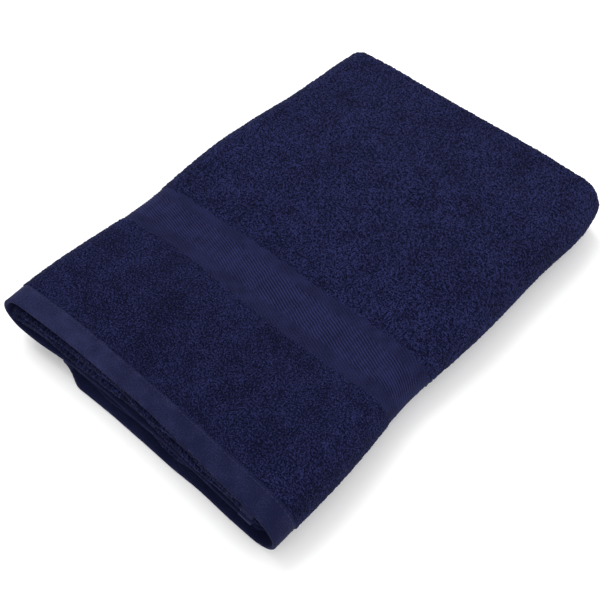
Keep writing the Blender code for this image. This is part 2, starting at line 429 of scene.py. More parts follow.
@dataclass(frozen=True)
class Lie:
    """How the towel lies: the soft, uneven shape that a folded towel settles into.

    The nets' columns and rows and all of their shifts are in millimetres. Heights are in thousandths of
    the flat-folded height.
    """

    columns: Tuple[float, ...] = (-112, -60, 0, 60, 112)
    rows: Tuple[float, ...] = (-171, -153, -120, -53, 20, 100, 171)
    across_rows: Tuple[float, ...] = (-171, -153, -120, -53, 20, 100, 145, 171)
    shift_across: Table = (
        (-9.8, -6.5, -4.0, -2.5, -1.5),
        (-9.8, -6.5, -4.0, -2.0, -1.0),
        (-9.3, -6.0, -3.5, -2.0, -0.5),
        (-9.0, -6.0, -4.0, -4.0, -4.2),
        (-11.8, -6.8, -3.5, -1.5, 0.8),
        (-6.6, -5.2, -3.0, -0.2, 2.2),
        (-6.2, -4.6, -2.6, 0.0, 3.8),
        (-5.4, -3.8, -2.0, -0.3, -0.2),
    )
    along_rows: Tuple[float, ...] = (-171, -153, -120, -81, -33, 20, 100, 171)
    shift_along: Table = (
        (-10.6, -4.4, -0.3, 1.0, 2.5),
        (-8.2, -2.8, 0.0, 1.0, 2.5),
        (-2.0, 1.8, 1.6, 4.2, 7.5),
        (-0.8, 6.0, 5.0, 8.0, 11.5),
        (-7.0, -1.2, 3.0, 6.5, 7.0),
        (-2.5, -1.6, 0.0, 5.5, 10.0),
        (-1.5, 1.0, 4.0, 8.5, 12.0),
        (0.0, 4.0, 8.0, 12.0, 12.2),
    )
    lean_along: Table = (
        (10.2, 8.8, 6.9, 3.5, -0.5),
        (4.4, 2.8, 1.7, 0.7, -1.5),
        (0.0, 0.0, 0.5, 0.0, 0.0),
    ) + ((0.0,) * 5,) * 4
    height: Table = (
        (930, 925, 920, 925, 930),
        (980, 985, 985, 985, 985),
        (990, 1000, 1005, 1010, 1010),
        (885, 880, 875, 880, 890),
        (990, 990, 995, 1000, 1000),
        (1000, 1000, 1005, 1010, 1010),
        (960, 970, 975, 985, 975),
    )
    # Slow swells of the whole stack, and the gap that is always left over the floor.
    waves: Grain = Grain(11)
    wide_wave: float = 46 * MM
    wide_swell: float = 0.045
    small_wave: float = 17 * MM
    small_swell: float = 0.020
    floor_gap: float = 0.05 * MM
    # How unevenly the leaves' near ends lie, and how far in from the end that reaches.
    leaves: Grain = Grain(12)
    near_reach: float = 80 * MM
    wobble_size: float = 26 * MM
    wobble: float = 4.2 * MM
    # Where the bottom third's free corner is tucked in under the stack.
    corner_reach: float = 26 * MM
    tuck_start: float = 4 * MM
    tuck_end: float = 54 * MM
    tuck_depth: float = 40 * MM
    # How far the leaves' near ends lie back, or, for the near folds, reach forward.
    bottom_recess: float = 0.5 * MM
    roll_recess: float = 9.0 * MM
    corner_recess: float = 8.0 * MM
    corner_tuck: float = 7.5 * MM
    fold_reach: float = 2.6 * MM
    second_recess: float = 1.4 * MM
    under_recess: float = 2.4 * MM

    def slide(self, plan: FoldPlan, s: Array, y: Array, n: Array) -> Array:
        """Finds how far each leaf's near end has slid back, so that the layers aren't level.

        Args:
            plan: where the folded cloth lies.
            s: places across the cloth.
            y: places along the towel.
            n: distances from the middle of the four leaves.

        Returns:
            How far each place has slid along the towel.
        """
        one, two, three, four, _ = plan.stops
        nearness = 1.0 - smooth(y, plan.near, plan.near + self.near_reach)
        wobble = (self.leaves.at(s, n * 9.0, self.wobble_size) - 0.5) * self.wobble
        # The outermost leaf lies straighter than the ones under it.
        wobble = wobble * (0.35 + 0.65 * smooth(-n, -plan.outer, -plan.outer + plan.pitch))
        # The bottom third, its free corner and the right fold's inner leaves lie back.
        under = self.bottom_recess * (1.0 - smooth(s, one, two - 12 * MM))
        roll = smooth(s, one, one + 20 * MM) * (1.0 - smooth(s, two - 6 * MM, two + 18 * MM))
        inner = smooth(plan.outer - n, 0.3 * plan.pitch, 0.9 * plan.pitch)
        corner = self.corner_recess * (1.0 - smooth(s, 0.0, self.corner_reach))
        # Past the right fold the second leaf lies back, and the near folds reach forward.
        upper = smooth(s, two - 10 * MM, two + 20 * MM)
        folded = smooth(-n, -0.35 * plan.pitch, 0.35 * plan.pitch)
        second = inner * (1.0 - folded)
        first = (1.0 - inner) * smooth(s, three + 10 * MM, four - 5 * MM)
        layers = self.second_recess * second + self.under_recess * first - self.fold_reach * folded
        return nearness * (wobble + under + corner + self.roll_recess * roll * inner + upper * layers)

    def settle(self, points: Array) -> Array:
        """Moves flat-folded points to where the settled towel has them.

        Args:
            points: x, y and z in the last axis, in metres.

        Returns:
            The moved points.
        """
        x, y, z = points[..., 0], points[..., 1], points[..., 2]
        across = Net(self.columns, self.across_rows, self.shift_across).at(x, y)
        along = Net(self.columns, self.along_rows, self.shift_along).at(x, y)
        lean = Net(self.columns, self.rows, self.lean_along).at(x, y)
        rise = Net(self.columns, self.rows, self.height).at(x, y)
        swell = 1.0 + (self.waves.at(x + 1.0, y + 1.0, self.wide_wave) - 0.5) * self.wide_swell
        swell = swell + (self.waves.at(x + 2.0, y + 3.0, self.small_wave) - 0.5) * self.small_swell
        top = float(CAD_BOX[1][2])
        height = np.maximum(z * rise * swell, self.floor_gap)
        return np.stack([x + across, y + along + lean * z / top, height], axis=-1)

    def place(self, plan: FoldPlan, s: Array, t: Array, h: Array) -> Array:
        """Places points of the cloth in the folded towel.

        Args:
            plan: where the folded cloth lies.
            s: places across the cloth.
            t: places along the cloth.
            h: heights over the middle of the cloth.

        Returns:
            The points, with x, y and z in the last axis.
        """
        y, n, face_y, face_n = plan.along(t)
        x, z, out_x, out_z = plan.across(s)
        slid = self.slide(plan, s, y, n)
        depth = n + h * face_n
        tuck = 1.0 - smooth(s, self.tuck_start, self.tuck_end)
        tuck = tuck * (1.0 - smooth(y, plan.near, plan.near + self.tuck_depth))
        tuck = tuck * np.clip(0.5 + 0.5 * n / plan.outer, 0.0, 1.0)
        aside = x + depth * out_x + tuck * self.corner_tuck
        flat = np.stack([aside, y + h * face_y + slid, z + depth * out_z], axis=-1)
        return self.settle(flat)


@dataclass(frozen=True)
class TerryPile:
    """The looped face of the terry: leaning loops in uneven rows."""

    row_gap: float = 1.25 * MM
    loop_gap: float = 1.35 * MM
    long_half: float = 1.10 * MM
    short_half: float = 0.62 * MM
    depth: float = 0.95 * MM
    contrast: float = 1.0
    # Painted shade: how much darker the colour is made where this terry lies in shade.
    shade: float = 0.0
    scatter: float = 0.8
    shortest: float = 0.40
    seed: int = 5
    count: int = 256
    patches: Grain = Grain(21)

    def loops(self, s: Array, t: Array) -> Array:
        """Finds how high the loops stand.

        Args:
            s: places across the cloth.
            t: places along the cloth.

        Returns:
            Heights from 0 in the gaps to 1 on the tallest loops.
        """
        count = self.count
        table = np.random.default_rng(self.seed).random((count, count, 5))
        column = np.floor(s / self.loop_gap).astype(int)
        row = np.floor(t / self.row_gap).astype(int)
        best = np.zeros_like(s)
        for i in (-1, 0, 1):
            for j in (-1, 0, 1):
                draw = table[(row + j) % count, (column + i) % count]
                dx = s - (column + i + 0.5 + self.scatter * (draw[..., 0] - 0.5)) * self.loop_gap
                dy = t - (row + j + 0.5 + self.scatter * (draw[..., 1] - 0.5)) * self.row_gap
                lean = draw[..., 2] * math.pi
                a = (dx * np.cos(lean) + dy * np.sin(lean)) / self.long_half
                b = (dy * np.cos(lean) - dx * np.sin(lean)) / self.short_half
                cap = np.sqrt(np.clip(1.0 - a * a - b * b, 0.0, 1.0))
                best = np.maximum(best, cap * (self.shortest + (1.0 - self.shortest) * draw[..., 3]))
        return best

    def relief(self, s: Array, t: Array) -> Tuple[Array, Array, Array]:
        """Works out the relief.

        Args:
            s: places across the cloth.
            t: places along the cloth.

        Returns:
            Heights over the base in metres, and the pile and tone marks that the colour is made from.
        """
        tone = 0.40 * self.patches.at(s, t, 11 * MM) + 0.45 * self.patches.at(s + 3.0, t, 4.5 * MM)
        tone = tone + 0.15 * self.patches.at(s + 7.0, t + 3.0, 33 * MM)
        pile = self.loops(s, t)
        rise = (pile * (0.75 + 0.5 * tone) - 0.8) * self.depth
        # The tone mark carries the painted shade.
        return rise, 0.5 + (pile - 0.5) * self.contrast, tone - self.shade


@dataclass(frozen=True)
class DobbyBand:
    """The flat woven border band: a barred strip between two plain ones, crossed by fine slanting lines."""

    start: float
    end: float
    near_edge: float = 12.0 * MM
    far_edge: float = 10.5 * MM
    bar: float = 5.45 * MM
    twill: float = 2.05 * MM
    slant: float = math.radians(24.0)
    bar_depth: float = 0.14 * MM
    twill_depth: float = 0.30 * MM
    fade: float = 1.2 * MM
    ridge_width: float = 0.7 * MM
    ridge: float = 0.25 * MM
    tones: Grain = Grain(31)

    def relief(self, s: Array, t: Array) -> Tuple[Array, Array, Array]:
        """Works out the relief.

        Args:
            s: places across the cloth.
            t: places along the cloth.

        Returns:
            Heights over the base in metres, and the pile and tone marks that the colour is made from.
        """
        low, high = self.start + self.near_edge, self.end - self.far_edge
        inside = smooth(t, low, low + self.fade) * (1.0 - smooth(t, high - self.fade, high))
        bars = 0.5 + 0.5 * np.cos(2 * math.pi * s / self.bar)
        bars = bars * (0.35 + 0.65 * self.tones.at(s, t + 5.0, 9 * MM))
        start = self.tones.at(np.floor(s / self.bar) * 7 * MM, 0.0 * t, 5 * MM) * 0.4 * self.twill
        ramp = t * math.cos(self.slant) - s * math.sin(self.slant) + start
        fine = 0.5 + 0.5 * np.cos(2 * math.pi * ramp / self.twill)
        ridges = sum(np.exp(-(((t - side) / self.ridge_width) ** 2)) for side in (low, high))
        rise = inside * bars**0.6 * self.bar_depth + fine * self.twill_depth + ridges * self.ridge
        patchy = 0.5 + 0.8 * self.tones.at(s + 4.0, t, 7 * MM)
        ribs = 1.35 * (fine - 0.5) * (0.25 + 0.75 * inside) * patchy
        plain = 0.37 + 0.05 * smooth(t, self.start, self.end)
        pile = np.clip(plain + inside * 0.07 + inside * 0.26 * (bars - 0.3) + ribs, 0.0, 1.0)
        return rise, pile, self.tones.at(s, t, 6 * MM)


@dataclass(frozen=True)
class HemWeave:
    """The close, smooth weave of the turned hems."""

    # Painted shade on the hem: how much darker its colour is made, where that is full and where it has
    # faded out.
    dim: float = 0.50
    dim_start: float = 0.0
    dim_end: float = 0.0
    tones: Grain = Grain(41)

    def relief(self, s: Array, t: Array) -> Tuple[Array, Array, Array]:
        """Works out the relief.

        Args:
            s: places across the cloth.
            t: places along the cloth.

        Returns:
            Heights over the base in metres, and the pile and tone marks that the colour is made from.
        """
        soft = self.tones.at(s, t, 5 * MM)
        pile = 0.5 + (soft - 0.5) * 0.4
        # Painted shade: full at its start, fading out towards its end.
        if self.dim_end != self.dim_start:
            pile = pile - self.dim * (1.0 - smooth(s, self.dim_start, self.dim_end))
        return (soft - 0.5) * 0.25 * MM, pile, self.tones.at(s + 2.0, t, 12 * MM)


Weave = Union[TerryPile, DobbyBand, HemWeave]


class Value:
    """A number over a surface; arithmetic on it adds Math nodes."""

    def __init__(self, graph: "Graph", socket: bpy.types.NodeSocket) -> None:
        """Wraps a socket of a graph."""
        self.graph = graph
        self.socket = socket

    def _math(self, operation: str, *terms: Union[float, "Value"]) -> "Value":
        """Returns the result of one Math node."""
        node = self.graph.add("ShaderNodeMath", {"operation": operation}, dict(enumerate(terms)))
        return Value(self.graph, node.outputs[0])

    def __add__(self, other: Union[float, "Value"]) -> "Value":
        """Returns the sum."""
        return self._math("ADD", self, other)

    __radd__ = __add__

    def __sub__(self, other: Union[float, "Value"]) -> "Value":
        """Returns the difference."""
        return self._math("SUBTRACT", self, other)

    def __rsub__(self, other: float) -> "Value":
        """Returns the difference the other way round."""
        return self._math("SUBTRACT", other, self)

    def __mul__(self, other: Union[float, "Value"]) -> "Value":
        """Returns the product."""
        return self._math("MULTIPLY", self, other)

    __rmul__ = __mul__

    def sine(self) -> "Value":
        """Returns the sine."""
        return self._math("SINE", self)

    def clamped(self, low: float = 0.0, high: float = 1.0) -> "Value":
        """Returns the value kept between two limits."""
        return self._math("MINIMUM", self._math("MAXIMUM", self, low), high)


class Graph:
    """The nodes of one material."""

    def __init__(self, name: str) -> None:
        """Starts a material with an output and nothing else."""
        self.material = bpy.data.materials.new(name)
        self.material.use_nodes = True
        self.tree = self.material.node_tree
        self.tree.nodes.clear()

    def add(
        self,
        kind: str,
        settings: Optional[Dict[str, Any]] = None,
        values: Optional[Dict[Union[int, str], Any]] = None,
    ) -> bpy.types.Node:
        """Adds one node.

        Args:
            kind: the node's type.
            settings: the node's own settings, made first.
            values: numbers, values or sockets for the node's inputs.

        Returns:
            The new node.
        """
        node = self.tree.nodes.new(kind)
        for name, setting in (settings or {}).items():
            setattr(node, name, setting)
        for key, value in (values or {}).items():
            source = value.socket if isinstance(value, Value) else value
            if isinstance(source, bpy.types.NodeSocket):
                self.tree.links.new(source, node.inputs[key])
            else:
                node.inputs[key].default_value = source
        return node

    def mark(self, name: str) -> Value:
        """Returns a mark that the cloth's points carry."""
        node = self.add("ShaderNodeAttribute", {"attribute_name": name})
        return Value(self, node.outputs["Fac"])

    def cloth(self) -> bpy.types.NodeSocket:
        """Returns the place on the flat cloth, in metres."""
        return self.add("ShaderNodeUVMap", {"uv_map": "cloth"}).outputs["UV"]

    def noise(self, size: float, detail: float = 2.0) -> Value:
        """Returns noise over the flat cloth, with features of about that size in metres."""
        values = {"Vector": self.cloth(), "Scale": 1.0 / size, "Detail": detail}
        return Value(self, self.add("ShaderNodeTexNoise", {}, values).outputs["Fac"])

    def blend(self, factor: Value, low: Any, high: Any) -> bpy.types.NodeSocket:
        """Returns the colour between two, by a factor."""
        node = self.add("ShaderNodeMix", {"data_type": "RGBA"}, {0: factor, 6: low, 7: high})
        return node.outputs[2]

    def bump(self, height: Value, distance: float, strength: float) -> bpy.types.NodeSocket:
        """Returns a normal bent by a height."""
        values = {"Height": height, "Distance": distance, "Strength": strength}
        return self.add("ShaderNodeBump", {}, values).outputs["Normal"]

    def woven(
        self,
        colour: bpy.types.NodeSocket,
        normal: bpy.types.NodeSocket,
        roughness: float,
        shine: float,
        sheen_roughness: float,
    ) -> bpy.types.Material:
        """Ends the graph with the soft surface that all of the weaves share.

        Args:
            colour: the surface's colour.
            normal: the surface's bent normal.
            roughness: how rough the threads are.
            shine: how much they shine.
            sheen_roughness: how rough their fuzz is.

        Returns:
            The material.
        """
        values = {
            "Base Color": colour,
            "Roughness": roughness,
            "Specular IOR Level": shine,
            "Sheen Weight": FUZZ,
            "Sheen Roughness": sheen_roughness,
            "Sheen Tint": FUZZ_TINT,
            "Normal": normal,
        }
        return self.finish(values)

    def finish(self, values: Dict[Union[int, str], Any]) -> bpy.types.Material:
        """Ends the graph with the surface shader and returns the material."""
        shader = self.add("ShaderNodeBsdfPrincipled", {}, values)
        self.add("ShaderNodeOutputMaterial", {}, {"Surface": shader.outputs[0]})
        return self.material


@dataclass(frozen=True)
class TerryFinish:
    """Navy terry, with painted shade that darkens it between the loops, lighter on their tops."""

    # The valley colour is the navy with painted shade, for the gaps between the loops.
    valley: Colour = (0.0015, 0.0020, 0.0105, 1.0)
    tip: Colour = (0.0184, 0.0215, 0.0800, 1.0)

    def material(self) -> bpy.types.Material:
        """Returns the finish as a material."""
        graph = Graph("terry_navy")
        thread = graph.noise(0.95 * MM, 1.0)
        # The pile mark paints shade into the gaps between the loops; the tone mark varies the navy at
        # random and carries the pieces' painted shade; the thread noise varies it at random.
        factor = graph.mark("pile") * 0.90 + (graph.mark("tone") - 0.5) * 0.50 + (thread - 0.5) * 2.6 + 0.02
        level = factor.clamped()
        colour = graph.blend(level * (level * 0.6 + 0.4), self.valley, self.tip)
        return graph.woven(colour, graph.bump(thread, 0.90 * MM, 1.0), 0.96, 0.05, 0.45)


@dataclass(frozen=True)
class DobbyFinish:
    """The band's flat weave: lighter on the raised threads."""

    ground: Colour = (0.0022, 0.0029, 0.0160, 1.0)
    raised: Colour = (0.0142, 0.0165, 0.0640, 1.0)

    def material(self) -> bpy.types.Material:
        """Returns the finish as a material."""
        graph = Graph("dobby_navy")
        thread = graph.noise(0.75 * MM, 2.0)
        factor = graph.mark("pile") + (graph.mark("tone") - 0.5) * 0.35 + (thread - 0.5) * 1.9
        colour = graph.blend(factor.clamped(), self.ground, self.raised)
        return graph.woven(colour, graph.bump(thread, 0.20 * MM, 0.6), 0.86, 0.08, 0.40)


@dataclass(frozen=True)
class HemFinish:
    """The hems' close weave, with its fine threads along the hem."""

    ground: Colour = (0.0042, 0.0056, 0.0265, 1.0)
    raised: Colour = (0.0180, 0.0200, 0.0635, 1.0)
    thread: float = 0.75 * MM

    def material(self) -> bpy.types.Material:
        """Returns the finish as a material."""
        graph = Graph("hem_navy")
        parts = graph.add("ShaderNodeSeparateXYZ", {}, {0: graph.cloth()})
        across, along = Value(graph, parts.outputs[0]), Value(graph, parts.outputs[1])
        pace = 2 * math.pi / self.thread
        threads = (across * pace).sine() * (along * pace).sine()
        fleck = graph.noise(0.9 * MM, 2.0)
        tone = (graph.mark("tone") - 0.5) * 0.35
        # The pile mark carries the hem's painted shade as well as its soft random tone.
        factor = graph.mark("pile") + threads * 0.12 + (fleck - 0.5) * 2.6 + tone
        colour = graph.blend(factor.clamped(), self.ground, self.raised)
        normal = graph.bump(threads * 0.5 + fleck, 0.12 * MM, 0.5)
        return graph.woven(colour, normal, 0.82, 0.08, 0.40)


@dataclass(frozen=True)
class ThreadFinish:
    """Matching navy sewing thread."""

    dark: Colour = (0.0060, 0.0075, 0.0280, 1.0)
    light: Colour = (0.0150, 0.0175, 0.0580, 1.0)

    def material(self) -> bpy.types.Material:
        """Returns the finish as a material."""
        graph = Graph("thread_navy")
        twist = graph.noise(0.3 * MM, 1.0)
        return graph.finish(
            {
                "Base Color": graph.blend(twist, self.dark, self.light),
                "Roughness": 0.60,
                "Specular IOR Level": 0.12,
                "Sheen Weight": FUZZ,
                "Normal": graph.bump(twist, 0.08 * MM, 0.5),
            }
        )


class Wardrobe:
    """The towel's materials, made once."""

    def __init__(self) -> None:
        """Makes a material for each slot."""
        self.by_slot = {
            Slot.TERRY: TerryFinish().material(),
            Slot.DOBBY: DobbyFinish().material(),
            Slot.HEM: HemFinish().material(),
            Slot.THREAD: ThreadFinish().material(),
        }

    def dress(self, piece: bpy.types.Object, slot: Slot) -> None:
        """Gives a piece its material."""
        piece.data.materials.append(self.by_slot[slot])


@dataclass(frozen=True)
class Hinge:
    """How pieces follow the cover when it is folded open."""

    still: str
    moving: str
    stack: float
    bend_start: float = 0.6 * MM
    bend_end: float = 8.6 * MM

    @classmethod
    def from_frame(cls, plan: FoldPlan) -> "Hinge":
        """Reads the fold from the frame's joint."""
        joint = frame["joints"][0]
        return cls(joint["parent"], joint["child"], plan.stack)

    def still_piece(self, piece: bpy.types.Object) -> None:
        """Lets a piece stay with the bottom third."""
        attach(piece, self.still)

    def moving_piece(self, piece: bpy.types.Object) -> None:
        """Lets a piece move with the cover."""
        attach(piece, self.moving)

    def bending_piece(self, piece: bpy.types.Object) -> None:
        """Bakes a piece's place into its mesh; the piece rides on no body."""
        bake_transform(piece)


@dataclass(frozen=True)
class Panel:
    """One closed piece of cloth: a fine outer face, a plainer inner face and the rim between them."""

    name: str
    s: Array
    t: Array
    half: float
    weave: Weave
    # The inner face keeps one line in this many of the outer face's.
    skip: int = 4
    # How far the weave stands over the cloth.
    proud: float = 0.0
    # Whether the towel's end is a turned edge here, and which side edge is: -1 low, 1 high, 0 neither.
    round_t: bool = False
    round_s: int = 0
    # How far the pile takes to come up from under the next weave, at the low and high ends.
    soft_low: float = 0.0
    soft_high: float = 0.0
    # How high a covered pile lies, and how far a turned edge takes to round off.
    sunk: float = 0.72 * MM
    turn: float = 1.3 * MM
    fringe: Grain = Grain(61)

    def _sink(self, s: Array, t: Array) -> Array:
        """Returns how far the pile has come up from under the next weave, from 0 to 1.

        Args:
            s: places across the cloth.
            t: places along the cloth.

        Returns:
            Values from 0 to 1, one for each place.
        """
        up = np.ones_like(s)
        ragged = 0.65 * self.fringe.at(s, t, 5 * MM) + 0.35 * self.fringe.at(s + 1.0, t, 2 * MM)
        for reach, gap in ((self.soft_low, t - self.t[0]), (self.soft_high, self.t[-1] - t)):
            if reach:
                up = up * smooth(gap - ragged * 0.6 * reach, 0.0, 0.55 * reach)
        return up

    def _taper(self, s: Array, t: Array) -> Array:
        """Returns how full the cloth is, which falls at a turned edge.

        Args:
            s: places across the cloth.
            t: places along the cloth.

        Returns:
            Fullness from 0 at the edge to 1.
        """
        full = np.ones_like(s)
        if self.round_t:
            gap = t if self.t[0] == 0.0 else self.t[-1] - t
            full = full * self._rounded(gap)
        if self.round_s:
            gap = s - self.s[0] if self.round_s < 0 else self.s[-1] - s
            full = full * self._rounded(gap)
        return full

    def _rounded(self, gap: Array) -> Array:
        """Returns how full a turned edge is at a distance in from it."""
        near = np.clip(gap / self.turn, 0.0, 1.0)
        return np.sqrt(np.clip(1.0 - (1.0 - near) ** 2, 0.02, 1.0))

    def _picked(self, count: int) -> Array:
        """Returns every few lines of the outer face, with the first and last.

        Args:
            count: how many lines the outer face has.

        Returns:
            The numbers of the lines that the inner face keeps.
        """
        picked = list(range(0, count - 1, self.skip)) + [count - 1]
        if len(picked) > 2 and picked[-1] - picked[-2] < self.skip / 2:
            picked.pop(-2)
        return np.asarray(picked)

    def build(self, plan: FoldPlan, lie: Lie) -> bpy.types.Object:
        """Makes the piece's mesh.

        Args:
            plan: where the folded cloth lies.
            lie: how the towel lies.

        Returns:
            The piece, with its bake map, cloth map and colour marks.
        """
        columns, rows = len(self.s), len(self.t)
        s, t = np.meshgrid(self.s, self.t)
        rise, pile, tone = self.weave.relief(s, t)
        full = self._taper(s, t)
        tall = (self.half + rise + self.proud) * full
        upper = lie.place(plan, s, t, self.sunk + (tall - self.sunk) * self._sink(s, t))
        pi, pj = self._picked(columns), self._picked(rows)
        kept = np.ix_(pj, pi)
        inner_s, inner_t = np.meshgrid(self.s[pi], self.t[pj])
        lower = lie.place(plan, inner_s, inner_t, -self.half * full[kept])
        points = np.concatenate([upper.reshape(-1, 3), lower.reshape(-1, 3)])
        outer_index = np.arange(columns * rows).reshape(rows, columns)
        inner_index = columns * rows + np.arange(len(pi) * len(pj)).reshape(len(pj), len(pi))
        faces = self._quads(outer_index, False) + self._quads(inner_index, True)
        smooth_count = len(faces)
        rims, rim_map = self._rims(outer_index, inner_index, pi, pj)
        mesh = bpy.data.meshes.new(self.name)
        mesh.from_pydata(points.tolist(), [], faces + rims)
        shades = np.arange(len(mesh.polygons)) < smooth_count
        mesh.polygons.foreach_set("use_smooth", shades)
        self._map(mesh, smooth_count, rim_map, (s, t), (inner_s, inner_t))
        for name, values in (("pile", pile), ("tone", tone)):
            marks = np.concatenate([values.ravel(), values[kept].ravel()])
            mesh.attributes.new(name, "FLOAT", "POINT").data.foreach_set("value", marks.astype(np.float32))
        return linked(self.name, mesh)

    @staticmethod
    def _quads(index: Array, turned: bool) -> List[List[int]]:
        """Returns the four-sided faces of one face of the cloth."""
        a, b, c, d = index[:-1, :-1], index[:-1, 1:], index[1:, 1:], index[1:, :-1]
        order = (a, b, c, d) if turned else (a, d, c, b)
        return np.stack([v.ravel() for v in order], axis=1).tolist()

    @staticmethod
    def _rims(
        outer: Array,
        inner: Array,
        pi: Array,
        pj: Array,
    ) -> Tuple[List[List[int]], List[Tuple[float, float]]]:
        """Closes the cloth's four edges.

        Args:
            outer: the outer face's point numbers.
            inner: the inner face's point numbers.
            pi: the outer columns that the inner face keeps.
            pj: the outer rows that the inner face keeps.

        Returns:
            The rim's faces, and a place on the bake map for each of their corners.
        """
        faces: List[List[int]] = []
        places: List[Tuple[float, float]] = []
        sides = (
            (outer[0, :], inner[0, :], pi, False),
            (outer[:, -1], inner[:, -1], pj, False),
            (outer[-1, :], inner[-1, :], pi, True),
            (outer[:, 0], inner[:, 0], pj, True),
        )
        for number, (edge, back, kept, turned) in enumerate(sides):
            last = float(kept[-1])
            lift = RIM_STEP * number
            for k in range(len(kept) - 1):
                a, b = int(kept[k]), int(kept[k + 1])
                top = list(range(a, b + 1))
                face = [int(edge[v]) for v in top] + [int(back[k + 1]), int(back[k])]
                where = [(RIM_START + RIM_SPAN * v / last, RIM_OUTER + lift) for v in top]
                where += [(RIM_START + RIM_SPAN * v / last, RIM_INNER + lift) for v in (b, a)]
                if turned:
                    face.reverse()
                    where.reverse()
                faces.append(face)
                places += where
        return faces, places

    def _map(
        self,
        mesh: bpy.types.Mesh,
        smooth_count: int,
        rim_map: List[Tuple[float, float]],
        outer: Tuple[Array, Array],
        inner: Tuple[Array, Array],
    ) -> None:
        """Lays out the bake map and the flat cloth's map.

        Args:
            mesh: the piece's mesh.
            smooth_count: how many faces come before the rim.
            rim_map: the rim corners' places on the bake map.
            outer: the outer face's places on the cloth.
            inner: the inner face's places on the cloth.
        """
        halves = ((outer, BAKE_OUTER), (inner, BAKE_INNER))
        bake = [
            np.stack([spread(s, BAKE_ACROSS), spread(t, share)], -1).reshape(-1, 2)
            for (s, t), share in halves
        ]
        flat = [np.stack(places, -1).reshape(-1, 2) for places, _ in halves]
        corner = corners(mesh)
        baked = np.concatenate(bake)[corner]
        baked[mesh.polygons[smooth_count].loop_start :] = np.asarray(rim_map)
        add_map(mesh, "OFBake", baked)
        add_map(mesh, "cloth", np.concatenate(flat)[corner])


@dataclass
class Maker:
    """What every part of the towel is made with."""

    plan: FoldPlan
    lie: Lie
    wardrobe: Wardrobe
    hinge: Hinge
    made: List[str] = field(default_factory=list)

    def panel(self, panel: Panel, slot: Slot, nodes: Sequence[str]) -> bpy.types.Object:
        """Builds a panel, dresses it and logs its flat size.

        Args:
            panel: the piece to build.
            slot: the slot that it takes its finish from.
            nodes: the frame's nodes that it stands for.

        Returns:
            The piece, not yet riding on a body.
        """
        piece = panel.build(self.plan, self.lie)
        self.wardrobe.dress(piece, slot)
        flat = (float(abs(panel.s[-1] - panel.s[0])), float(abs(panel.t[-1] - panel.t[0])))
        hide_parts(*nodes)
        self.made.append(piece.name)
        width, length = flat[0] / MM, flat[1] / MM
        LOG.info("%s: %.0f x %.0f mm, %d faces", piece.name, width, length, len(piece.data.polygons))
        return piece

    def across_lines(self, run: Run, fine: float, plain: float) -> Array:
        """Returns the lines across one run of cloth, finer on the top and the right fold.

        Args:
            run: which run of cloth.
            fine: the gap between lines on the top.
            plain: the gap between lines under the towel.

        Returns:
            Places across the cloth.
        """
        one, two, three, four, five = self.plan.stops
        hem = self.plan.side_hem
        if run is Run.WRAPPED:
            fold = lines(one, two, (fine + plain) / 2)
            return joined(lines(hem, one, plain), fold, lines(two, three, fine))
        return joined(lines(three, four, fine), lines(four, five - hem, plain))

    def attach(self, piece: bpy.types.Object, run: Run) -> None:
        """Lets a piece of the tucked run move with the cover; a piece of the wrapped run has its place
        baked into its mesh and rides on no body.

        Args:
            piece: the piece.
            run: which run of cloth.
        """
        if run is Run.WRAPPED:
            self.hinge.bending_piece(piece)
        else:
            self.hinge.moving_piece(piece)


class Leaf(Enum):
    """The two leaves that carry the towel's ends."""

    FIRST = 1
    SECOND = 2


